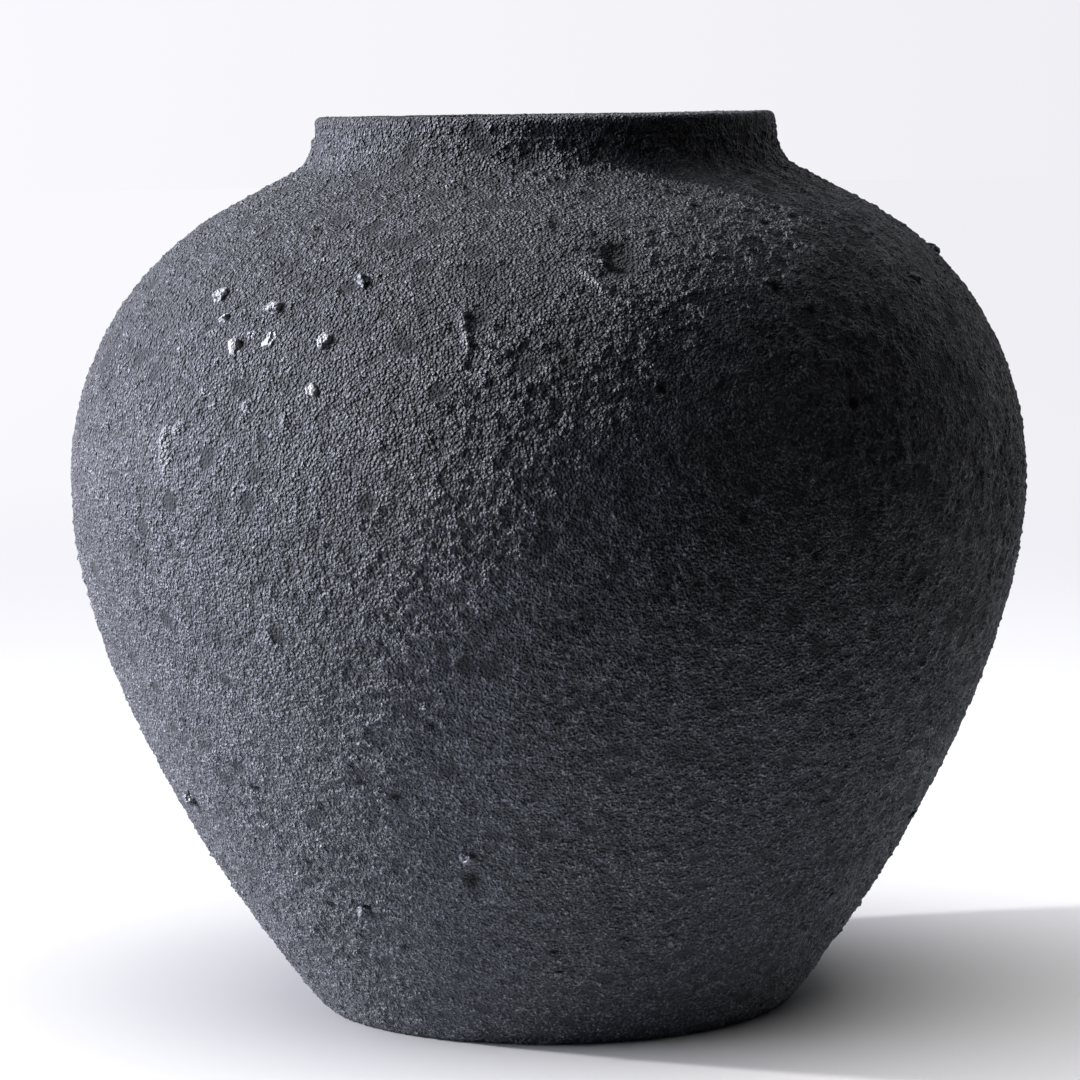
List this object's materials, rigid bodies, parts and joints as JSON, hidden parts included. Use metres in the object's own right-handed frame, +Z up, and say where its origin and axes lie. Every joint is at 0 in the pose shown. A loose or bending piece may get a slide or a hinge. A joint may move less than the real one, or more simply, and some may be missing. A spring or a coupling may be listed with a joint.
{
  "type": "pot",
  "caption": "Hand-built wide-bellied clay pot with a narrow foot, round shoulder, short upright collar and an all-over coarse gritty skin.",
  "frame": {"origin": "centre of the foot, on the ground", "axes": "+Z up along the pot's axis and out of the mouth; the cluster of coarse grains on the shoulder lies towards -Y and -X"},
  "size_m": [0.3, 0.3, 0.28],
  "materials": {
    "clay": "unglazed, smoke-blackened, coarse and matt",
    "grit": "coarse fired grains stuck in the skin, slightly shinier than the clay"
  },
  "bodies": {
    "root": {"floor_slab": "clay", "foot_coil": "clay", "coil_course_1": "clay", "coil_course_2": "clay", "coil_course_3": "clay", "coil_course_4": "clay", "coil_course_5": "clay", "coil_course_6": "clay", "coil_course_7": "clay", "neck_collar": "clay", "neck_fillet": "clay", "rim_coil": "clay", "floor_fillet": "clay", "coarse_grit": "grit"}
  },
  "joints": []
}
